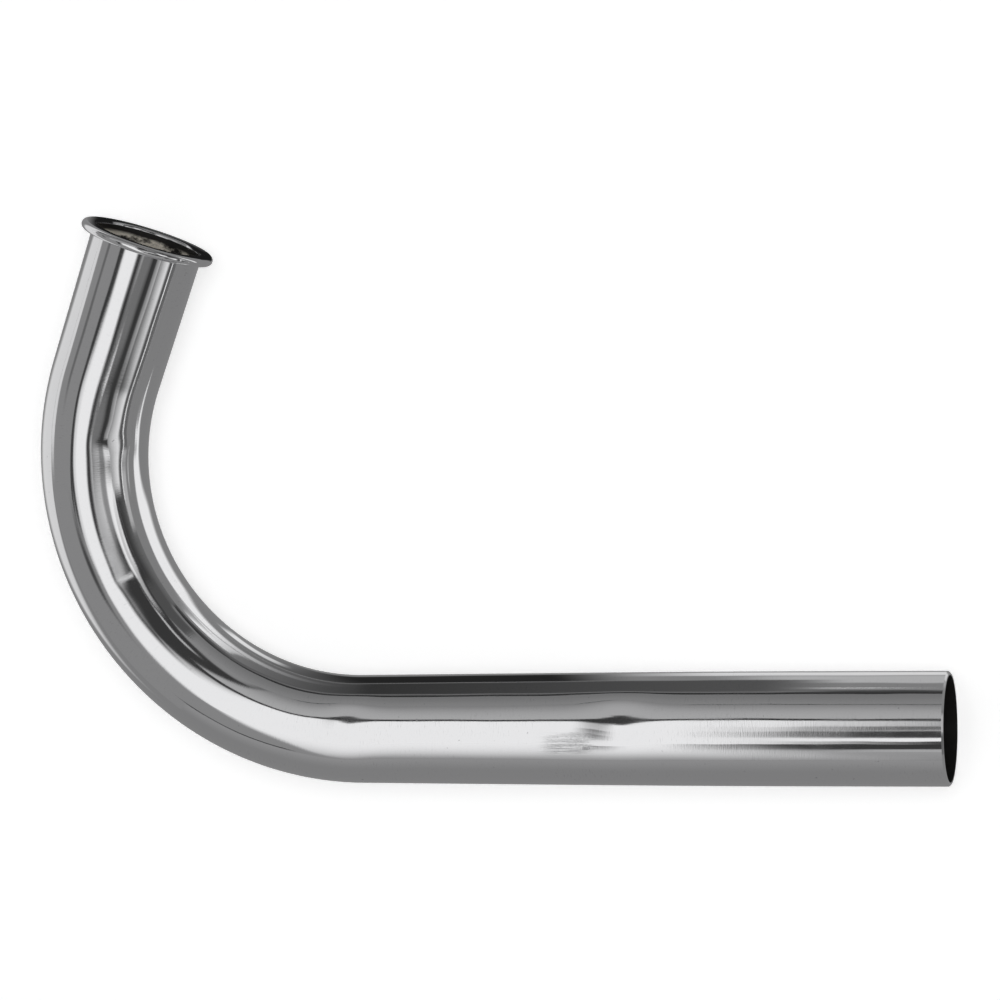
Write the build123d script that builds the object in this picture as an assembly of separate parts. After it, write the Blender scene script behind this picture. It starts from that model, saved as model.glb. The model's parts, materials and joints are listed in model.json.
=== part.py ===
from build123d import *
import math
import os

# Waste elbow, in millimetres: one length of drawn tube, bent, with a collar upset at its inlet end.
# It lies on its side as it comes to rest: on the long outlet leg and on the rim of the collar.
# The origin is the centre of the cut outlet end. +X points out of the outlet, +Z is up.

# Tube
tube_diameter = 32.0
tube_wall = 1.1

# Centreline: outlet leg, bend, inlet leg up to the collar's sealing face
outlet_leg = 167.0
bend_radius = 76.0
bend_angle = 110.0
inlet_leg = 41.0

# What the tube has lost in the bend, across it in the plane of the bend
bend_flattening = 1.5

# Plain end of the outlet leg that the bend has left round, with a deburred outside edge
spigot_length = 36.0
spigot_edge = 0.5

# Collar, which stands out from the tube
collar_overhang = 3.3
collar_thickness = 2.6
collar_lip_radius = 1.0

# Worked out from the above, with distances measured along the tube from the outlet end
tube_radius = tube_diameter / 2
bore_radius = tube_radius - tube_wall
collar_radius = tube_radius + collar_overhang
collar_rim_radius = collar_thickness / 2
bend_length = bend_radius * math.radians(bend_angle)
bend_start = outlet_leg
bend_end = bend_start + bend_length
collar_foot = bend_end + inlet_leg - collar_thickness

# The flattened tube's oval has four arcs, with their centres set by a triangle of sides 3, 4 and 5
oval_join = math.degrees(math.atan2(3, 4))


def away_from_centre(turn):
    """Direction across the tube in the plane of the bend, away from the bend's centre."""
    return Vector(-math.sin(turn), -math.cos(turn), 0)


def along_tube(turn):
    """Direction of the centreline, from the outlet towards the inlet."""
    return Vector(-math.cos(turn), math.sin(turn), 0)


def across_tube(distance):
    """Plane across the tube at a distance from the outlet end, with its local Y in the bend's plane."""
    past_leg = distance - bend_start
    arc_length = min(max(past_leg, 0.0), bend_length)
    turn = arc_length / bend_radius
    bend_centre = Vector(-outlet_leg, bend_radius, 0)
    on_arc = bend_centre + away_from_centre(turn) * bend_radius
    origin = on_arc + along_tube(turn) * (past_leg - arc_length)
    return Plane(origin=origin, x_dir=(0, 0, 1), z_dir=along_tube(turn))


def tube_outline(flattening, inset):
    """Outline across the tube, set in from its outside: four tangent arcs, narrow along local Y."""
    end_centre = flattening
    end_radius = tube_radius - flattening - inset
    end_sweep = 2 * oval_join
    side_centre = flattening * 3 / 4
    side_radius = tube_radius + flattening / 4 - inset
    side_sweep = 180 - end_sweep
    with BuildSketch() as outline:
        with BuildLine():
            CenterArc((end_centre, 0), end_radius, -oval_join, end_sweep)
            CenterArc((0, -side_centre), side_radius, oval_join, side_sweep)
            CenterArc((-end_centre, 0), end_radius, 180 - oval_join, end_sweep)
            CenterArc((0, side_centre), side_radius, 180 + oval_join, side_sweep)
        make_face()
    return outline.sketch


def bend_bar(inset):
    """The bend as a solid bar, turned about the bend's centre."""
    oval_outline = across_tube(bend_start) * tube_outline(bend_flattening, inset)
    bend_axis = Axis((-outlet_leg, bend_radius, 0), (0, 0, -1))
    return revolve(oval_outline, bend_axis, bend_angle)


def leg_bar(round_end, oval_end, inset):
    """A leg as a solid bar, which comes round again from the bend's oval."""
    round_outline = across_tube(round_end) * tube_outline(0, inset)
    oval_outline = across_tube(oval_end) * tube_outline(bend_flattening, inset)
    return loft([round_outline, oval_outline], ruled=True)


def bent_bar(inset):
    """Both legs and the bend between the two round ends, as one solid bar."""
    return leg_bar(spigot_length, bend_start, inset) + bend_bar(inset) + leg_bar(collar_foot, bend_end, inset)


def outlet_spigot():
    """The round plain end, cut square, with its outside edge deburred."""
    with BuildSketch(Plane.XZ) as wall:
        with BuildLine():
            Polyline(
                (bore_radius, 0),
                (tube_radius - spigot_edge, 0),
                (tube_radius, spigot_edge),
                (tube_radius, spigot_length),
                (bore_radius, spigot_length),
                close=True,
            )
        make_face()
    return across_tube(0) * revolve(wall.sketch, Axis.Z)


def inlet_collar():
    """The collar upset from the tube's end: flat sealing face, full round rim and a rounded lip in the bore."""
    lip = collar_lip_radius
    face = collar_thickness
    rim_start = collar_radius - collar_rim_radius
    with BuildSketch(Plane.XZ) as wall:
        with BuildLine():
            Line((bore_radius, 0), (rim_start, 0))
            ThreePointArc((rim_start, 0), (collar_radius, collar_rim_radius), (rim_start, face))
            Line((rim_start, face), (bore_radius + lip, face))
            RadiusArc((bore_radius + lip, face), (bore_radius, face - lip), -lip)
            Line((bore_radius, face - lip), (bore_radius, 0))
        make_face()
    return across_tube(collar_foot) * revolve(wall.sketch, Axis.Z)


def rest_roll():
    """Roll about the outlet leg that sets the collar's rim on the surface the leg lies on, in degrees."""
    rim_centre = across_tube(collar_foot + collar_rim_radius).origin
    return math.degrees(math.asin(collar_overhang / rim_centre.Y))


bent_tube = bent_bar(0) - bent_bar(tube_wall)
flat_elbow = bent_tube + outlet_spigot() + inlet_collar()
waste_elbow = Rot(X=rest_roll()) * flat_elbow

os.makedirs("parts", exist_ok=True)
export_step(waste_elbow, "parts/waste_elbow.step")
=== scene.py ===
"""Looks of the waste elbow: a bent chromed tube with a rolled collar, lying on its side on a white floor.

Lengths are in metres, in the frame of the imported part: the origin is the centre of the cut outlet end,
+X points out of the outlet and +Z is up.
"""

import json
import logging
import math
from dataclasses import dataclass, field, replace
from enum import Enum

import bpy
from mathutils import Euler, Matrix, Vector

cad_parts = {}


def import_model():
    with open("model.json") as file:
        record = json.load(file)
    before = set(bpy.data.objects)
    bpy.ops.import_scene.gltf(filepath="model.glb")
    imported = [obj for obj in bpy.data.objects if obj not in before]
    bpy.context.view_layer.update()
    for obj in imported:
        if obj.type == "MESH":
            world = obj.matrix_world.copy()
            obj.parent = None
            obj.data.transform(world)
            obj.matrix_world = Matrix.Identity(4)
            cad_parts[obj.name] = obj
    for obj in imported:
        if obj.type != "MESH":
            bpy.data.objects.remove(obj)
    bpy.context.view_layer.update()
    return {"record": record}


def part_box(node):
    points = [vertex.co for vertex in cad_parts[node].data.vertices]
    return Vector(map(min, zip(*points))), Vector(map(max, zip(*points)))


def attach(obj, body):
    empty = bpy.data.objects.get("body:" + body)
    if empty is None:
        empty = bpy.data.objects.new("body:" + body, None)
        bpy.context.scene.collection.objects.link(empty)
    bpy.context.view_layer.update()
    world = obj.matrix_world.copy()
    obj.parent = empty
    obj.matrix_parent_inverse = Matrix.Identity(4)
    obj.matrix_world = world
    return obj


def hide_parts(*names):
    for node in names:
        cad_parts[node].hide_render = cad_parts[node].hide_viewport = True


LOG = logging.getLogger("waste_elbow")
NODE = "waste_elbow"

Triple = tuple[float, float, float]
Socket = bpy.types.NodeSocket
Value = Socket | float


class Side(Enum):
    """The finishes on the tube, each with its place in the mesh's list of materials."""

    OUTSIDE = 0
    BORE = 1


class Fade(Enum):
    """The way that a card's tone changes over it."""

    NONE = "none"
    ACROSS = "across"
    UPWARDS = "upwards"


class NodeTree:
    """Builds the nodes of a material or of the world."""

    def __init__(self, owner: bpy.types.Material | bpy.types.World) -> None:
        """Starts an empty tree on a material or on the world.

        Args:
            owner: What the nodes belong to.
        """
        owner.use_nodes = True
        self.tree = owner.node_tree
        self.tree.nodes.clear()

    def add(self, kind: str, settings: dict | None = None, **inputs: object) -> bpy.types.Node:
        """Adds a node and sets its options and inputs.

        Args:
            kind: The node's type, without the words ShaderNode in front.
            settings: Properties of the node.
            **inputs: Values or sockets for the inputs, by name with _ for a space, or by number as in i0.

        Returns:
            The node.
        """
        node = self.tree.nodes.new(f"ShaderNode{kind}")
        for name, value in (settings or {}).items():
            setattr(node, name, value)
        for name, value in inputs.items():
            is_number = name[0] == "i" and name[1:].isdigit()
            socket = node.inputs[int(name[1:])] if is_number else node.inputs[name.replace("_", " ")]
            if isinstance(value, Socket):
                self.tree.links.new(value, socket)
            else:
                socket.default_value = value
        return node

    def math(self, operation: str, first: Value, second: Value = 0.0, clamp: bool = False) -> Socket:
        """Adds a sum on one or two values.

        Args:
            operation: The name of the operation, such as MULTIPLY.
            first: Value or socket.
            second: Value or socket.
            clamp: Whether the result stays between 0 and 1.

        Returns:
            The socket with the result.
        """
        node = self.add("Math", {"operation": operation, "use_clamp": clamp}, i0=first, i1=second)
        return node.outputs[0]

    def ramp(self, value: Socket, low: float, high: float, start: float, end: float) -> Socket:
        """Maps a value smoothly from one range to another.

        Args:
            value: The socket that is mapped.
            low: Where the range of the value starts.
            high: Where it ends.
            start: Result at the low end.
            end: Result at the high end.

        Returns:
            The socket with the result.
        """
        node = self.add(
            "MapRange",
            {"interpolation_type": "SMOOTHSTEP"},
            i0=value, i1=low, i2=high, i3=start, i4=end,
        )
        return node.outputs[0]

    def noise(self, place: Socket, detail: float = 2.0, roughness: float = 0.5) -> Socket:
        """Adds a noise whose size is set by the place that it is given.

        Args:
            place: Socket with the place, already scaled.
            detail: How many finer layers the noise has.
            roughness: How strong the finer layers are.

        Returns:
            The socket with the noise, around 0.5.
        """
        node = self.add("TexNoise", Vector=place, Scale=1.0, Detail=detail, Roughness=roughness)
        return node.outputs["Fac"]

    def finish(self, surface: Socket, output: str = "OutputMaterial") -> None:
        """Joins the last shader to the output."""
        self.add(output, Surface=surface)


@dataclass(frozen=True)
class RubPatch:
    """A patch of fine lengthwise rub marks on the tube's outside.

    Attributes:
        along: From the outlet end along the tube to the patch's middle.
        around: From the tube's top around it to the patch's middle.
        half_length: How far the patch reaches along the tube.
        half_width: How far it reaches around the tube.
        strength: How strong the marks are in its middle.
        full_share: Share of its reach over which the marks keep that strength.
    """

    along: float
    around: float
    half_length: float
    half_width: float
    strength: float
    full_share: float = 0.25


@dataclass(frozen=True)
class ChromeFinish:
    """Bright chrome over drawn tube: faint lines along it, soft waves, hairs, pin marks and rubbed patches.

    A range is the stretch of a noise over which a mark goes from none to full.
    """

    tone: Triple = (0.79, 0.79, 0.80)
    marked_tone: Triple = (0.42, 0.42, 0.43)
    smooth: float = 0.045
    hazy: float = 0.10
    line_spacing: float = 0.0004
    line_length: float = 0.030
    wave_length: float = 0.030
    hair_spacing: float = 0.00036
    hair_length: float = 0.0024
    pin_spacing: float = 0.0022
    pin_range: tuple[float, float] = (0.70, 0.78)
    cloud_length: float = 0.020
    cloud_width: float = 0.015
    cloud_range: tuple[float, float] = (0.35, 0.75)
    brushed_length: float = 0.045
    brushed_width: float = 0.008
    brushed_range: tuple[float, float] = (0.38, 0.66)
    brushed_least: float = 0.15
    scratch_range: tuple[float, float] = (0.56, 0.74)
    scratch_share: float = 0.30
    rub_range: tuple[float, float] = (0.35, 0.68)
    marks_haze: float = 0.10
    wave_depth: float = 0.00008
    line_depth: float = 0.000010
    hair_depth: float = 0.000008
    rub_depth: float = 0.00006
    rubs: tuple[RubPatch, ...] = (
        RubPatch(along=0.1055, around=0.0018, half_length=0.0095, half_width=0.0042, strength=0.75),
        RubPatch(along=0.0999, around=0.0030, half_length=0.0016, half_width=0.0007, strength=1.6),
    )

    def rub_mask(self, nodes: NodeTree, along: Socket, around: Socket) -> Value:
        """Finds how far each point lies in a rubbed patch.

        Args:
            nodes: The material's nodes.
            along: Socket with the distance along the tube.
            around: Socket with the distance around it.

        Returns:
            Socket with the patch's strength in its middle and 0 outside all of them.
        """
        mask: Value = 0.0
        for rub in self.rubs:
            off_along = nodes.math("ABSOLUTE", nodes.math("SUBTRACT", along, rub.along))
            off_around = nodes.math("ABSOLUTE", nodes.math("SUBTRACT", around, rub.around))
            full_length, full_width = rub.half_length * rub.full_share, rub.half_width * rub.full_share
            in_length = nodes.ramp(off_along, full_length, rub.half_length, rub.strength, 0.0)
            in_width = nodes.ramp(off_around, full_width, rub.half_width, 1.0, 0.0)
            mask = nodes.math("MAXIMUM", mask, nodes.math("MULTIPLY", in_length, in_width))
        return mask

    def stretched(
        self, nodes: NodeTree, along: Socket, around: Socket, length: float, width: float
    ) -> Socket:
        """Scales places on the tube, so that a noise on them has grains of a given length and width.

        Args:
            nodes: The material's nodes.
            along: Socket with the distance along the tube.
            around: Socket with the distance around it.
            length: Length of a grain along the tube.
            width: Width of a grain around it.

        Returns:
            Socket with the scaled place.
        """
        return nodes.add(
            "CombineXYZ", X=nodes.math("DIVIDE", along, length), Y=nodes.math("DIVIDE", around, width)
        ).outputs[0]

    def material(self) -> bpy.types.Material:
        """Makes the chrome.

        Returns:
            The material.
        """
        material = bpy.data.materials.new("chrome_plate")
        nodes = NodeTree(material)
        place = nodes.add("UVMap", {"uv_map": "along_around"}).outputs["UV"]
        parts = nodes.add("SeparateXYZ", Vector=place)
        along, around = parts.outputs["X"], parts.outputs["Y"]

        line_place = self.stretched(nodes, along, around, self.line_length, self.line_spacing)
        lines = nodes.noise(line_place, 3.0, 0.6)
        wave_place = self.stretched(nodes, along, around, self.wave_length, self.wave_length / 4)
        waves = nodes.noise(wave_place, 1.0)
        hair_place = self.stretched(nodes, along, around, self.hair_spacing, self.hair_length)
        hairs = nodes.noise(hair_place, 3.0, 0.6)
        pin_place = self.stretched(nodes, along, around, self.pin_spacing, self.pin_spacing)
        pins = nodes.ramp(nodes.noise(pin_place, 2.0, 0.7), *self.pin_range, 0.0, 1.0)
        cloud_place = self.stretched(nodes, along, around, self.cloud_length, self.cloud_width)
        clouds = nodes.ramp(nodes.noise(cloud_place, 4.0, 0.65), *self.cloud_range, 0.0, 1.0)
        brushed_place = self.stretched(nodes, along, around, self.brushed_length, self.brushed_width)
        patchy = nodes.noise(brushed_place, 2.0, 0.5)
        brushed = nodes.ramp(patchy, *self.brushed_range, self.brushed_least, 1.0)
        scratched = nodes.ramp(hairs, *self.scratch_range, 0.0, self.scratch_share)
        scratches = nodes.math("MULTIPLY", brushed, scratched)
        rub_place = self.stretched(nodes, along, around, self.line_length / 3, self.line_spacing * 1.6)
        rub_lines = nodes.ramp(nodes.noise(rub_place, 4.0, 0.65), *self.rub_range, 0.0, 1.0)
        rub = nodes.math("MULTIPLY", self.rub_mask(nodes, along, around), rub_lines)

        rough = nodes.math("ADD", nodes.math("MULTIPLY", clouds, self.hazy - self.smooth), self.smooth)
        marks = nodes.math("MULTIPLY", nodes.math("ADD", pins, rub), self.marks_haze)
        rough = nodes.math("ADD", rough, marks, clamp=True)
        worn = nodes.math("MAXIMUM", pins, nodes.math("MULTIPLY", rub, 0.5))
        tone = nodes.add(
            "Mix",
            {"data_type": "RGBA"},
            Factor=nodes.math("MAXIMUM", scratches, nodes.math("MULTIPLY", worn, 0.7)),
            i6=(*self.tone, 1.0),
            i7=(*self.marked_tone, 1.0),
        ).outputs[2]

        brush_marks = nodes.math("MULTIPLY", hairs, brushed)
        normal = nodes.add("Bump", Strength=1.0, Distance=self.wave_depth, Height=waves).outputs[0]
        for height, strength, depth in (
            (lines, 0.25, self.line_depth),
            (brush_marks, 1.0, self.hair_depth),
            (rub, 0.8, self.rub_depth),
        ):
            bump = nodes.add("Bump", Strength=strength, Distance=depth, Height=height, Normal=normal)
            normal = bump.outputs[0]
        shader = nodes.add("BsdfPrincipled", Base_Color=tone, Metallic=1.0, Roughness=rough, Normal=normal)
        nodes.finish(shader.outputs[0])
        return material


@dataclass(frozen=True)
class BoreFinish:
    """The unpolished inside of the tube: unplated metal painted near black as painted shade, with patches
    of pale plating near the inlet and a band of painted dark reflection just inside the lip.

    Starts and ends are distances along the tube from the outlet end.
    """

    plated: Triple = (0.90, 0.85, 0.75)
    # Near black: painted shade of the inside, laid over the unplated metal.
    bare_in_painted_shade: Triple = (0.014, 0.013, 0.012)
    plating_start: float = 0.25
    plating_end: float = 0.34
    # Painted dark reflection: a band just inside the mouth's lip keeps no pale patches and stays near
    # black.
    lip_shade_start: float = 0.3506
    lip_shade_end: float = 0.3518
    patch_size: float = 0.0042
    patch_stretch: float = 2.5
    patch_range: tuple[float, float] = (0.44, 0.56)
    grain_size: float = 0.0004
    grain_depth: float = 0.00005
    grain_haze: float = 0.15
    dull: float = 0.37
    metal: float = 0.25

    def material(self) -> bpy.types.Material:
        """Makes the dull inside.

        Returns:
            The material.
        """
        material = bpy.data.materials.new("dull_bore")
        nodes = NodeTree(material)
        place = nodes.add("UVMap", {"uv_map": "along_around"}).outputs["UV"]
        stretch = (1 / self.patch_size, 1 / (self.patch_size * self.patch_stretch), 1.0)
        scaled = nodes.add("VectorMath", {"operation": "MULTIPLY"}, i0=place, i1=stretch).outputs[0]
        along = nodes.add("SeparateXYZ", Vector=place).outputs["X"]
        # The pale patches fade out deeper in the tube, which leaves the near black of painted shade.
        reach = nodes.ramp(along, self.plating_start, self.plating_end, 0.0, 1.0)
        # Painted dark reflection: the band just inside the lip gets no pale patches.
        clear_of_lip_shade = nodes.ramp(along, self.lip_shade_start, self.lip_shade_end, 1.0, 0.0)
        cover = nodes.ramp(nodes.noise(scaled, detail=5.0, roughness=0.6), *self.patch_range, 0.0, 1.0)
        patches = nodes.math("MULTIPLY", nodes.math("MULTIPLY", reach, clear_of_lip_shade), cover)
        fine = nodes.add("VectorMath", {"operation": "SCALE"}, Vector=place, Scale=1 / self.grain_size)
        grain = nodes.noise(fine.outputs[0], detail=2.0)
        tone = nodes.add(
            "Mix", {"data_type": "RGBA"}, Factor=patches, i6=(*self.bare_in_painted_shade, 1.0), i7=(*self.plated, 1.0)
        ).outputs[2]
        bump = nodes.add("Bump", Strength=0.4, Distance=self.grain_depth, Height=grain)
        shader = nodes.add(
            "BsdfPrincipled",
            Base_Color=tone,
            Metallic=self.metal,
            Roughness=nodes.math("ADD", nodes.math("MULTIPLY", grain, self.grain_haze), self.dull),
            Normal=bump.outputs[0],
        )
        nodes.finish(shader.outputs[0])
        return material


@dataclass(frozen=True)
class Dent:
    """A shallow mark that bending left in the tube's wall.

    Attributes:
        distance: From the outlet end along the tube.
        angle: Around the tube in degrees from its top, positive towards the outside of the bend.
        half_length: How far it reaches along the tube.
        half_width: How far it reaches around the tube.
        depth: How deep it is pressed in.
    """

    distance: float
    angle: float
    half_length: float
    half_width: float
    depth: float


@dataclass(frozen=True)
class Ring:
    """A ring of points of the tube's skin.

    Attributes:
        distance: From the outlet end along the tube.
        stand_out: How far it stands out from the tube's outside.
        side: The finish of the skin up to this ring from the one before.
    """

    distance: float
    stand_out: float
    side: Side = Side.OUTSIDE


@dataclass
class BentTube:
    """The elbow itself, as one closed skin: outside, collar, bore and cut outlet end.

    Attributes:
        tube_radius: Outside radius of the round tube.
        bend_angle: Turn of the bend, in radians.
        roll: Roll about the outlet leg in which the elbow lies, in radians.
        inlet_face: Centre of the collar's sealing face.
    """

    tube_radius: float
    bend_angle: float
    roll: float
    inlet_face: Vector
    bend_radius: float = 0.076
    wall: float = 0.0011
    flattening: float = 0.0021
    spigot_length: float = 0.036
    spigot_edge: float = 0.0005
    collar_overhang: float = 0.0033
    collar_thickness: float = 0.0026
    lip_radius: float = 0.0010
    ring_step: float = 0.0010
    bore_step: float = 0.0030
    around_count: int = 144
    round_steps: int = 10
    sharp_angle: float = 32.0
    dents: tuple[Dent, ...] = (
        Dent(distance=0.0899, angle=-18.6, half_length=0.0095, half_width=0.0055, depth=0.00088),
        Dent(distance=0.0899, angle=16.0, half_length=0.0120, half_width=0.0070, depth=0.00020),
        Dent(distance=0.1680, angle=-20.3, half_length=0.0060, half_width=0.0042, depth=0.00036),
        Dent(distance=0.1680, angle=-6.0, half_length=0.0100, half_width=0.0080, depth=0.00050),
        Dent(distance=0.2950, angle=-40.0, half_length=0.0040, half_width=0.0055, depth=0.00035),
        Dent(distance=0.2516, angle=-25.0, half_length=0.0045, half_width=0.0050, depth=0.00014),
    )
    outlet_leg: float = field(init=False)
    inlet_leg: float = field(init=False)

    def __post_init__(self) -> None:
        """Works out both legs from the bend and from where the collar's face is."""
        across = self.inlet_face.y / math.cos(self.roll)
        rise = self.bend_radius * (1 - math.cos(self.bend_angle))
        self.inlet_leg = (across - rise) / math.sin(self.bend_angle)
        reach = self.bend_radius * math.sin(self.bend_angle) + self.inlet_leg * math.cos(self.bend_angle)
        self.outlet_leg = -self.inlet_face.x - reach

    @classmethod
    def from_frame(cls, record: dict) -> "BentTube":
        """Takes the tube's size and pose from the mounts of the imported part.

        Args:
            record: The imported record.

        Returns:
            The tube.
        """
        mounts = {mount["name"]: mount for mount in record["mounts"]}
        axis = Vector(mounts["inlet_face"]["axis"])
        return cls(
            tube_radius=mounts["outlet_spigot"]["dims"]["r_mm"] / 1000,
            bend_angle=math.pi / 2 + math.atan2(axis.x, math.hypot(axis.y, axis.z)),
            roll=math.atan2(axis.z, axis.y),
            inlet_face=Vector(mounts["inlet_face"]["pos_m"]),
        )

    @property
    def bend_end(self) -> float:
        """Distance along the tube at which the bend ends."""
        return self.outlet_leg + self.bend_radius * self.bend_angle

    @property
    def collar_foot(self) -> float:
        """Distance along the tube at which the collar starts."""
        return self.bend_end + self.inlet_leg - self.collar_thickness

    def pose(self, distance: float) -> tuple[Vector, Vector, Vector]:
        """Finds the middle of the tube and its two directions across.

        Args:
            distance: From the outlet end along the tube.

        Returns:
            The centre, the direction up and the direction away from the bend's centre.
        """
        past = distance - self.outlet_leg
        arc = min(max(past, 0.0), self.bend_radius * self.bend_angle)
        turn = arc / self.bend_radius
        outward = Vector((-math.sin(turn), -math.cos(turn), 0.0))
        along = Vector((-math.cos(turn), math.sin(turn), 0.0))
        bend_centre = Vector((-self.outlet_leg, self.bend_radius, 0.0))
        centre = bend_centre + outward * self.bend_radius + along * (past - arc)
        lie = Euler((self.roll, 0.0, 0.0)).to_matrix()
        return lie @ centre, lie @ Vector((0.0, 0.0, 1.0)), lie @ outward

    def narrowing(self, distance: float) -> float:
        """Finds how much narrower each side of the tube is in the plane of the bend.

        Args:
            distance: From the outlet end along the tube.

        Returns:
            What half the width has lost.
        """
        if not self.spigot_length < distance < self.collar_foot:
            return 0.0
        mid_bend = (self.outlet_leg + self.bend_end) / 2
        before = distance < mid_bend
        round_end = self.spigot_length if before else self.collar_foot
        share = math.cos(math.pi / 2 * (distance - mid_bend) / (round_end - mid_bend))
        return self.flattening / 2 * (share**2 if before else share)

    def dent_depth(self, distance: float, angle: float) -> float:
        """Adds up how deep the dents are at a point.

        Args:
            distance: From the outlet end along the tube.
            angle: Around the tube, in radians from its top.

        Returns:
            The depth.
        """
        depth = 0.0
        for dent in self.dents:
            along = (distance - dent.distance) / dent.half_length
            turn = math.remainder(angle - math.radians(dent.angle), 2 * math.pi)
            around = turn * self.tube_radius / dent.half_width
            depth += dent.depth * math.exp(-(along**2) - around**2)
        return depth

    def rings(self) -> list[Ring]:
        """Lists the rings of the skin, from the outlet's edge over the outside and back through the bore.

        Returns:
            The rings.
        """
        foot, wall = self.collar_foot, self.wall
        count = round((foot - self.spigot_edge) / self.ring_step)
        step = (foot - self.spigot_edge) / count
        rings = [Ring(0.0, -self.spigot_edge)]
        rings += [Ring(self.spigot_edge + step * i, 0.0) for i in range(count + 1)]
        rim = self.collar_thickness / 2
        rim_middle = self.collar_overhang - rim
        for i in range(2 * self.round_steps + 1):
            turn = math.pi * i / (2 * self.round_steps)
            rings.append(Ring(foot + rim - rim * math.cos(turn), rim_middle + rim * math.sin(turn)))
        face, lip = foot + self.collar_thickness, self.lip_radius
        for i in range(self.round_steps + 1):
            turn = math.pi / 2 * i / self.round_steps
            rings.append(Ring(face - lip + lip * math.cos(turn), -wall + lip - lip * math.sin(turn)))
        bore_count = round((face - lip) / self.bore_step)
        for i in range(1, bore_count + 1):
            rings.append(Ring((face - lip) * (1 - i / bore_count), -wall, Side.BORE))
        return rings

    def points(self, ring: Ring) -> list[Vector]:
        """Places the points of a ring.

        Args:
            ring: The ring.

        Returns:
            The points, once around.
        """
        centre, upward, outward = self.pose(ring.distance)
        narrow = self.narrowing(ring.distance)
        points = []
        for i in range(self.around_count):
            angle = 2 * math.pi * i / self.around_count
            offset = ring.stand_out - self.dent_depth(ring.distance, angle)
            rise = (self.tube_radius + offset) * math.cos(angle)
            reach = (self.tube_radius - narrow + offset) * math.sin(angle)
            points.append(centre + upward * rise + outward * reach)
        return points

    def build(self) -> bpy.types.Object:
        """Builds the skin as one mesh.

        Returns:
            The object, with its finishes.
        """
        rings = self.rings()
        n = self.around_count
        points = [point for ring in rings for point in self.points(ring)]
        faces, sides, places = [], [], []
        for j, ring in enumerate(rings):
            k = (j + 1) % len(rings)
            start, end = ring.distance, rings[k].distance
            for i in range(n):
                i2 = (i + 1) % n
                faces.append((j * n + i, j * n + i2, k * n + i2, k * n + i))
                sides.append(rings[k].side.value)
                places.append(((start, i), (start, i + 1), (end, i + 1), (end, i)))
        mesh = bpy.data.meshes.new("bent_tube")
        mesh.from_pydata(points, [], faces)
        mesh.flip_normals()
        self.lay_out(mesh, faces, places)
        for polygon, side in zip(mesh.polygons, sides):
            polygon.material_index = side
        mesh.shade_smooth()
        mesh.set_sharp_from_angle(angle=math.radians(self.sharp_angle))
        mesh.materials.append(ChromeFinish().material())
        mesh.materials.append(BoreFinish().material())
        tube = bpy.data.objects.new("bent_tube", mesh)
        bpy.context.collection.objects.link(tube)
        return tube

    def lay_out(self, mesh: bpy.types.Mesh, faces: list[tuple], places: list[tuple]) -> None:
        """Gives every corner its place in lengths along and around the tube, from its top.

        Args:
            mesh: The skin.
            faces: Its faces as they were made.
            places: Distance and step around of every corner of every face.
        """
        layer = mesh.uv_layers.new(name="along_around")
        half = self.around_count // 2
        for polygon, face, corners in zip(mesh.polygons, faces, places):
            by_point = dict(zip(face, corners))
            wraps = corners[0][1] >= half
            for loop in polygon.loop_indices:
                distance, step = by_point[mesh.loops[loop].vertex_index]
                turned = step - self.around_count if wraps else step
                around = 2 * math.pi * turned / self.around_count * self.tube_radius
                layer.data[loop].uv = (distance, around)


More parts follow.
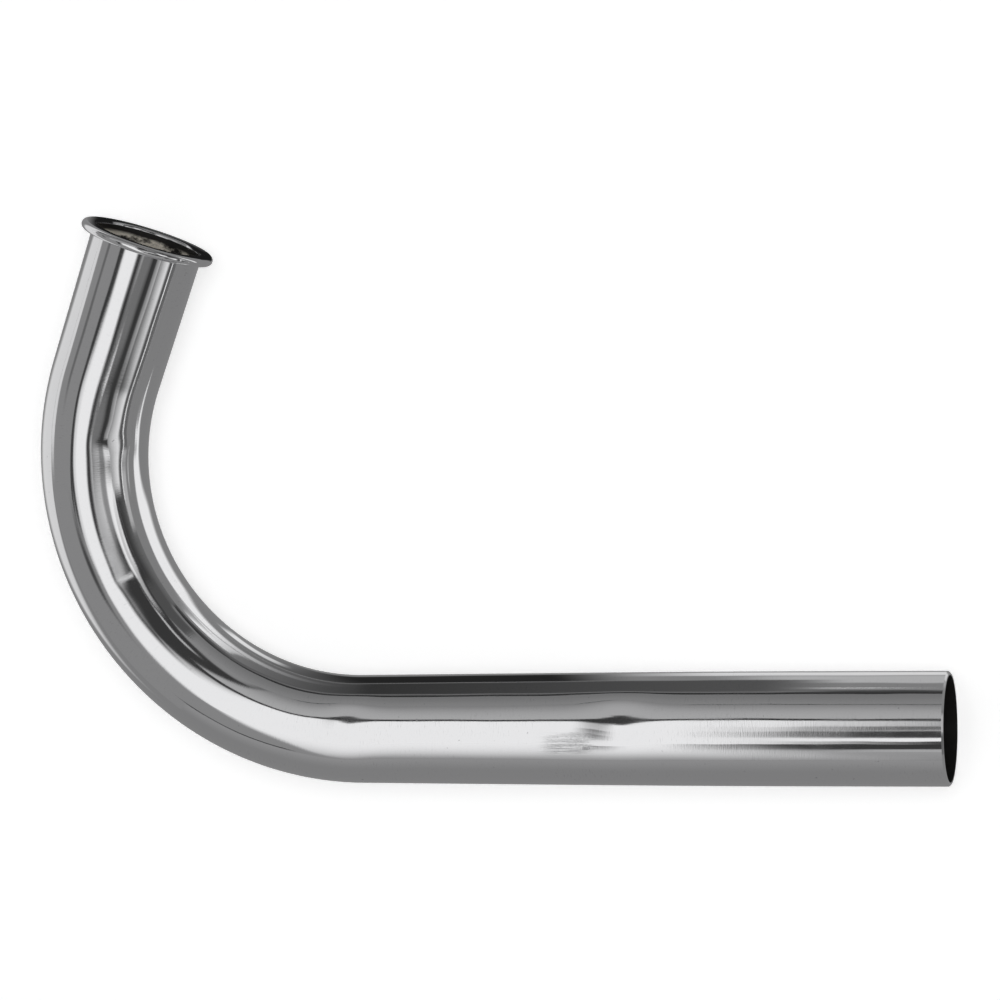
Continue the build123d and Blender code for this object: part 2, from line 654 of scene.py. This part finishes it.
@dataclass(frozen=True)
class Card:
    """A flat card of the light tent, which the metal mirrors and the camera doesn't see.

    Attributes:
        name: What the card is for.
        centre: Its middle.
        across: From its middle to the end of its width.
        upwards: From its middle to the end of its height.
        tone: Its brightness at the start of the fade, or all over.
        far_tone: Its brightness at the end of the fade.
        fade: The way that the tone changes.
        soft: Share of its half width and half height over which its edges melt away.
        taper: Share of its height that it has at the start of its width.
    """

    name: str
    centre: Triple
    across: Triple
    upwards: Triple
    tone: float
    far_tone: float = 0.0
    fade: Fade = Fade.NONE
    soft: tuple[float, float] = (0.1, 0.1)
    taper: float = 1.0

    def raised(self, height: float) -> "Card":
        """Gives the same card, hung higher."""
        x, y, z = self.centre
        return replace(self, centre=(x, y, z + height))

    def edge(self, nodes: NodeTree, share: Socket, soft: float) -> Socket:
        """Fades the card out towards two opposite edges.

        Args:
            nodes: The card's nodes.
            share: Socket with the place between those edges, from 0 to 1.
            soft: Share of the half size that fades.

        Returns:
            Socket that is 1 inside and 0 at the edges.
        """
        off_middle = nodes.math("MULTIPLY", nodes.math("ABSOLUTE", nodes.math("SUBTRACT", share, 0.5)), 2.0)
        return nodes.ramp(off_middle, 1.0 - soft, 1.0, 1.0, 0.0)

    def material(self) -> bpy.types.Material:
        """Makes the card's glow.

        Returns:
            The material.
        """
        material = bpy.data.materials.new(self.name)
        nodes = NodeTree(material)
        place = nodes.add("UVMap", {"uv_map": "card"}).outputs["UV"]
        parts = nodes.add("SeparateXYZ", Vector=place).outputs
        glow = nodes.add("Emission", Strength=self.tone)
        if self.fade is not Fade.NONE:
            share = parts["X"] if self.fade is Fade.ACROSS else parts["Y"]
            strength = nodes.ramp(share, 0.0, 1.0, self.tone, self.far_tone)
            nodes.tree.links.new(strength, glow.inputs["Strength"])
        shown_across = self.edge(nodes, parts["X"], self.soft[0])
        shown_upwards = self.edge(nodes, parts["Y"], self.soft[1])
        shown = nodes.math("MULTIPLY", shown_across, shown_upwards)
        clear = nodes.add("BsdfTransparent").outputs[0]
        mixed = nodes.add("MixShader", i0=shown, i1=clear, i2=glow.outputs[0])
        nodes.finish(mixed.outputs[0])
        return material

    def build(self) -> bpy.types.Object:
        """Builds the card.

        Returns:
            The object, seen only in mirrors.
        """
        middle, across, upwards = Vector(self.centre), Vector(self.across), Vector(self.upwards)
        narrow = upwards * self.taper
        start, end = middle - across, middle + across
        corners = [start - narrow, end - upwards, end + upwards, start + narrow]
        mesh = bpy.data.meshes.new(self.name)
        mesh.from_pydata(corners, [], [(0, 1, 2, 3)])
        layer = mesh.uv_layers.new(name="card")
        for loop, place in zip(layer.data, ((0.0, 0.0), (1.0, 0.0), (1.0, 1.0), (0.0, 1.0))):
            loop.uv = place
        mesh.materials.append(self.material())
        card = bpy.data.objects.new(self.name, mesh)
        bpy.context.collection.objects.link(card)
        card.visible_camera = False
        card.visible_diffuse = False
        card.visible_shadow = False
        return card


@dataclass
class LightTent:
    """The cards around the elbow: soft boxes overhead, walls of several tones, cloths on the floor, and
    glowing patches of painted light on the floor in the crook.

    Attributes:
        floor_level: Height of the floor.
        roof: Height of the boxes and lights overhead.
        shade_drop: How far the shades hang below them.
        fill_drop: How far the foremost card hangs below them.
        sheet_gap: How far the sheets hang above them.
        top_gap: How far the tent's roof is above them.
        roof_layer: Step in height from one card overhead to the next.
        cloth_gap: How far the lowest cloth lies above the floor.
        over_gap: How far the other cloths lie above that one.
        cloth_layer: Step in height from one cloth to the next.
        screen_height: Height of the screen in the crook.
        flag_height: Height of the flag by the long leg.
        table: Tone of the lowest cloth and of what has to look like it.
    """

    floor_level: float
    roof: float = 1.0
    shade_drop: float = 0.005
    fill_drop: float = 0.008
    sheet_gap: float = 0.02
    top_gap: float = 0.06
    roof_layer: float = 0.0004
    cloth_gap: float = 0.0003
    over_gap: float = 0.0002
    cloth_layer: float = 0.00003
    screen_height: float = 0.022
    flag_height: float = 0.030
    table: float = 0.25
    dark: float = 0.045
    grey: float = 0.28
    light: float = 0.78
    white: float = 1.0

    def roof_cards(self) -> list[Card]:
        """Lists the cards overhead, at each height those in front first.

        Returns:
            The cards.
        """
        low, high, top = self.roof, self.roof + self.sheet_gap, self.roof + self.top_gap
        front, foremost = low - self.shade_drop, low - self.fill_drop
        return [
            Card("tent_roof", (0.0, 0.0, top), (2.0, 0, 0), (0, 2.0, 0), self.dark),
            Card(
                "soft_box", (-0.44, 0.01, low), (0.31, 0, 0), (0, 0.445, 0),
                self.white, soft=(0.42, 0.03),
            ),
            Card(
                "box_tail", (-0.46, -1.00, low), (0.25, 0, 0), (0, 0.64, 0),
                0.36, self.white, Fade.UPWARDS, soft=(0.45, 0.08),
            ),
            Card(
                "side_box", (-0.20, 0.32, low), (0.13, 0, 0), (0, 0.13, 0),
                0.75, 0.45, Fade.ACROSS, soft=(0.5, 0.4),
            ),
            Card(
                "left_box", (-0.70, -0.05, low), (0.16, 0, 0), (0, 0.17, 0),
                self.light, soft=(0.6, 0.5),
            ),
            Card(
                "outlet_shade", (-0.13, -0.06, front), (0.13, 0, 0), (0, 0.13, 0),
                self.dark, soft=(0.9, 0.45),
            ),
            Card(
                "thin_light", (-0.08, -0.265, low), (0.16, 0, 0), (0, 0.066, 0),
                self.white, soft=(0.3, 0.25),
            ),
            Card(
                "low_thin_light", (-0.08, -0.74, low), (0.16, 0, 0), (0, 0.10, 0),
                0.45, soft=(0.3, 0.5),
            ),
            Card(
                "back_sheet", (-0.64, 1.14, high), (0.71, 0, 0), (0, 0.61, 0),
                0.46, 0.24, Fade.UPWARDS, soft=(0.12, 0.02),
            ),
            Card(
                "far_back_sheet", (0.55, 1.50, high), (0.60, 0, 0), (0, 0.40, 0),
                self.grey, soft=(0.4, 0.4),
            ),
            Card("outlet_line", (-0.30, 1.56, low), (0.15, 0, 0), (0, 0.03, 0), 0.02, soft=(0.6, 0.5)),
            Card(
                "left_sheet", (-1.26, -0.83, high), (0.64, 0, 0), (0, 0.70, 0),
                self.grey, soft=(0.1, 0.08),
            ),
            Card(
                "far_left_sheet", (-1.42, 0.6, high), (0.50, 0, 0), (0, 0.80, 0),
                self.grey, soft=(0.15, 0.05),
            ),
            Card(
                "front_sheet", (-0.1, -1.25, high), (0.90, 0, 0), (0, 0.62, 0),
                self.grey, 0.36, Fade.UPWARDS, soft=(0.1, 0.3),
            ),
            Card("left_shade", (-1.08, -0.30, low), (0.24, 0, 0), (0, 0.18, 0), 0.06, soft=(0.9, 0.9)),
            Card(
                "left_line", (-0.95, -0.05, front), (0.12, 0.14, 0), (-0.038, 0.033, 0),
                0.05, soft=(0.4, 0.7),
            ),
            Card("right_base", (0.56, 0.06, high), (0.55, 0, 0), (0, 0.26, 0), 0.30, soft=(0.3, 0.7)),
            Card(
                "short_line", (0.47, -0.335, low), (0.06, -0.026, 0), (0.03, 0.07, 0),
                0.04, soft=(0.6, 0.5),
            ),
            Card(
                "light_fan", (0.22, 0.225, low), (0.45, 0.21, 0), (-0.022, 0.047, 0),
                0.85, soft=(0.4, 0.9), taper=0.4,
            ),
            Card(
                "middle_sheet", (0.13, 0.06, low), (0.30, 0, 0), (0, 0.21, 0),
                0.42, 0.66, Fade.ACROSS, soft=(0.4, 0.9),
            ),
            Card(
                "short_sheet", (0.13, -0.19, low), (0.36, -0.15, 0), (0.04, 0.09, 0),
                0.19, soft=(0.7, 0.5),
            ),
            Card(
                "short_end", (0.82, -0.485, low), (0.22, -0.105, 0), (0.07, 0.15, 0),
                0.22, 0.55, Fade.ACROSS, soft=(0.5, 0.6),
            ),
            Card(
                "bend_fill", (-0.06, -0.02, foremost), (0.09, 0, 0), (0, 0.15, 0),
                0.50, soft=(0.4, 0.5),
            ),
            Card("right_box", (1.02, 0.26, low), (0.42, 0, 0), (0, 0.46, 0), self.white, soft=(0.4, 0.5)),
            Card(
                "arc_light", (0.44, 0.76, low), (-0.17, 0.16, 0), (0.06, 0.065, 0),
                0.55, soft=(0.6, 0.6),
            ),
        ]

    def wall_cards(self) -> list[Card]:
        """Lists the cards that stand around.

        Returns:
            The cards.
        """
        return [
            Card(
                "back_wall", (-0.2, 1.65, 0.66), (1.9, 0, 0), (0, 0, 0.40),
                0.20, 0.26, Fade.UPWARDS, soft=(0.05, 0.04),
            ),
            Card(
                "low_back_wall", (-0.2, 1.70, 0.13), (1.9, 0, 0), (0, 0, 0.20),
                0.10, 0.015, Fade.UPWARDS, soft=(0.02, 0.02),
            ),
            Card(
                "back_shade", (0.756, 0.91, 0.52), (-0.187, 0.208, 0), (0, 0, 0.30),
                0.09, soft=(0.4, 0.3),
            ),
            Card(
                "front_wall", (0.0, -1.70, 0.5), (1.9, 0, 0), (0, 0, 0.56),
                0.25, 0.32, Fade.UPWARDS, soft=(0.02, 0.02),
            ),
            Card(
                "right_dark", (1.85, 0.0, 0.5), (0, 1.9, 0), (0, 0, 0.56),
                0.16, self.dark, Fade.UPWARDS, soft=(0.02, 0.02),
            ),
            Card(
                "right_wall", (1.10, -0.30, 0.73), (0.14, 0.44, 0), (0, 0, 0.37),
                0.90, 0.36, Fade.UPWARDS, soft=(0.35, 0.40),
            ),
            Card(
                "far_right_wall", (0.86, 0.42, 0.95), (-0.22, 0.42, 0), (0, 0, 0.20),
                0.80, 0.45, Fade.ACROSS, soft=(0.4, 0.6),
            ),
            Card(
                "right_line", (0.92, -0.22, 0.20), (0.14, 0.46, 0), (0, 0, 0.025),
                self.white, soft=(0.3, 0.5),
            ),
            Card("right_low", (1.20, 0.14, 0.10), (0, 0.32, 0), (0, 0, 0.15), 0.50, soft=(0.5, 0.5)),
            Card(
                "left_wall", (-1.85, 0.0, 0.62), (0, 1.9, 0), (0, 0, 0.46),
                self.grey, soft=(0.02, 0.08),
            ),
            Card(
                "low_left_wall", (-1.86, -0.8, 0.1), (0, 1.1, 0), (0, 0, 0.16),
                self.grey, soft=(0.02, 0.02),
            ),
            Card(
                "left_wall_shade", (-1.80, 0.70, 0.84), (0, 0.60, 0), (0, 0, 0.16),
                0.13, soft=(0.4, 0.9),
            ),
            Card(
                "left_light", (-1.45, 0.62, 0.09), (0.15, 0.75, 0), (0, 0, 0.13),
                self.light, soft=(0.3, 0.4),
            ),
        ]

    def floor_cards(self) -> list[Card]:
        """Lists the cloths on the floor and the patches of painted light on it, the lower ones first, and
        the screen and flag that stand there.

        Returns:
            The cards.
        """
        cloth = self.floor_level + self.cloth_gap
        over = cloth + self.over_gap
        screen_half, flag_half = self.screen_height / 2, self.flag_height / 2
        screen, screen_up = self.floor_level + screen_half, (0, 0, screen_half)
        flag, flag_up = self.floor_level + flag_half, (0, 0, flag_half)
        return [
            Card(
                "table_cloth", (0.0, 0.0, cloth), (1.9, 0, 0), (0, 1.9, 0),
                self.table, soft=(0.02, 0.02),
            ),
            Card(
                "left_cloth", (-0.80, 0.42, over), (0.53, 0, 0), (0, 0.47, 0),
                self.light, soft=(0.04, 0.14),
            ),
            # Painted light: glowing patches on the floor in the crook, standing in for light falling there,
            # as the metal mirrors it.
            Card(
                "near_crook_light_pool", (-0.192, 0.067, over), (0.022, 0.011, 0), (-0.0054, 0.0107, 0),
                self.white, soft=(0.35, 0.4),
            ),
            Card(
                "bend_start_light_pool", (-0.195, 0.036, over), (0.009, -0.002, 0), (0.001, 0.005, 0),
                0.90, soft=(0.5, 0.5),
            ),
            Card(
                "far_crook_light_pool", (-0.113, 0.163, over), (0.062, 0.085, 0), (-0.034, 0.0247, 0),
                self.white, soft=(0.12, 0.5), taper=0.14,
            ),
            Card(
                "crook_screen", (-0.1797, 0.0997, screen), (0.0103, 0.0282, 0), screen_up,
                self.table, soft=(0.1, 0.1),
            ),
            Card(
                "outlet_cloth", (-0.015, 0.050, over), (0.060, 0, 0), (0, 0.030, 0),
                0.50, soft=(0.5, 0.6),
            ),
            Card(
                "outlet_edge_cloth", (-0.030, 0.025, over), (0.075, 0, 0), (0, 0.006, 0),
                self.light, soft=(0.6, 0.5),
            ),
            Card("leg_shade", (-0.145, 0.034, over), (0.055, 0, 0), (0, 0.014, 0), 0.02, soft=(0.5, 0.3)),
            Card(
                "mouth_shade", (-0.2216, 0.1480, over), (0.0240, -0.0087, 0), (0.0029, 0.0080, 0),
                0.012, soft=(0.2, 0.3),
            ),
            Card(
                "leg_flag", (-0.115, 0.0460, flag), (0.085, 0, 0), flag_up,
                0.035, 0.10, Fade.ACROSS, soft=(0.35, 0.25),
            ),
            Card(
                "flag_back", (-0.115, 0.0465, flag), (0.085, 0, 0), flag_up,
                self.table, soft=(0.3, 0.1),
            ),
        ]

    def build(self) -> None:
        """Hangs all the cards, the roof's and the floor's in layers, so that no two share a plane."""
        overhead = [card.raised(self.roof_layer * place) for place, card in enumerate(self.roof_cards())]
        cloths = [card.raised(self.cloth_layer * place) for place, card in enumerate(self.floor_cards())]
        for card in overhead + self.wall_cards() + cloths:
            card.build()
            LOG.info("card %s", card.name)


@dataclass
class WhiteFloor:
    """The floor that the elbow lies on, which looks white and keeps its shadow."""

    level: float
    half_size: float = 4.0
    glow: float = 0.60
    paint: float = 0.80

    def build(self) -> bpy.types.Object:
        """Builds the floor.

        Returns:
            The object.
        """
        half, level = self.half_size, self.level
        corners = [(-half, -half, level), (half, -half, level), (half, half, level), (-half, half, level)]
        mesh = bpy.data.meshes.new("floor")
        mesh.from_pydata(corners, [], [(0, 1, 2, 3)])
        mesh.materials.append(self.material())
        floor = bpy.data.objects.new("floor", mesh)
        bpy.context.collection.objects.link(floor)
        return floor

    def material(self) -> bpy.types.Material:
        """Makes the floor's white.

        Returns:
            The material.
        """
        material = bpy.data.materials.new("white_floor")
        nodes = NodeTree(material)
        seen = seen_directly(nodes)
        paint = nodes.add("BsdfDiffuse", Color=(self.paint, self.paint, self.paint, 1.0))
        glow = nodes.add("Emission", Strength=nodes.math("MULTIPLY", seen, self.glow))
        both = nodes.add("AddShader", i0=paint.outputs[0], i1=glow.outputs[0])
        nodes.finish(both.outputs[0])
        return material


def seen_directly(nodes: NodeTree) -> Socket:
    """Tells rays of the camera, of mirrors and of clear matter from rays that only carry light.

    Args:
        nodes: The tree that asks.

    Returns:
        Socket that is 1 for those rays and 0 for the others.
    """
    path = nodes.add("LightPath").outputs
    mirrors = nodes.math("MAXIMUM", path["Is Glossy Ray"], path["Is Transmission Ray"])
    return nodes.math("MAXIMUM", path["Is Camera Ray"], mirrors)


@dataclass
class Studio:
    """Camera, lamp and surroundings."""

    eye: Triple = (0.18683, 0.18772, 1.41263)
    turn: Triple = (-5.2191, 12.3268, -1.6691)
    lens: float = 186.349
    sensor: float = 36.0
    sight: float = 20.0
    lamp_place: Triple = (0.06, 0.22, 1.3)
    lamp_target: Triple = (-0.13, 0.06, 0.0)
    lamp_size: float = 0.8
    lamp_power: float = 6.0
    surroundings: float = 0.25

    def place_camera(self) -> None:
        """Sets the camera where the photo was taken from."""
        camera = bpy.data.cameras.new("camera")
        camera.lens = self.lens
        camera.sensor_width = self.sensor
        camera.clip_end = self.sight
        camera.dof.use_dof = False
        holder = bpy.data.objects.new("camera", camera)
        holder.location = self.eye
        holder.rotation_euler = [math.radians(angle) for angle in self.turn]
        bpy.context.collection.objects.link(holder)
        bpy.context.scene.camera = holder

    def hang_lamp(self) -> None:
        """Hangs the lamp that lights the floor and gives the elbow its soft shadow."""
        lamp = bpy.data.lights.new("soft_lamp", "AREA")
        lamp.shape = "DISK"
        lamp.size = self.lamp_size
        lamp.energy = self.lamp_power
        holder = bpy.data.objects.new("soft_lamp", lamp)
        holder.location = self.lamp_place
        aim = Vector(self.lamp_target) - Vector(self.lamp_place)
        holder.rotation_euler = aim.to_track_quat("-Z", "Y").to_euler()
        holder.visible_glossy = False
        bpy.context.collection.objects.link(holder)

    def paint_surroundings(self) -> None:
        """Makes the surroundings white to the eye and dim as a light."""
        world = bpy.data.worlds.new("surroundings")
        bpy.context.scene.world = world
        nodes = NodeTree(world)
        seen = seen_directly(nodes)
        strength = nodes.ramp(seen, 0.0, 1.0, self.surroundings, 1.0)
        white = nodes.add("Background", Strength=strength, Color=(1.0, 1.0, 1.0, 1.0))
        nodes.finish(white.outputs[0], "OutputWorld")

    def build(self) -> None:
        """Sets up everything around the elbow."""
        self.place_camera()
        self.hang_lamp()
        self.paint_surroundings()
        bpy.context.scene.view_settings.view_transform = "Standard"


def main() -> None:
    """Builds the elbow and everything around it."""
    logging.basicConfig(level=logging.INFO, format="%(message)s")
    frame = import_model()
    lowest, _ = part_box(NODE)

    tube = BentTube.from_frame(frame["record"]).build()
    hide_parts(NODE)
    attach(tube, "root")
    LOG.info("tube with %d faces", len(tube.data.polygons))

    WhiteFloor(level=lowest[2]).build()
    LOG.info("floor at %.4f", lowest[2])
    LightTent(floor_level=lowest[2]).build()
    Studio().build()
    LOG.info("camera, lamp and surroundings")


if __name__ == "__main__":
    main()
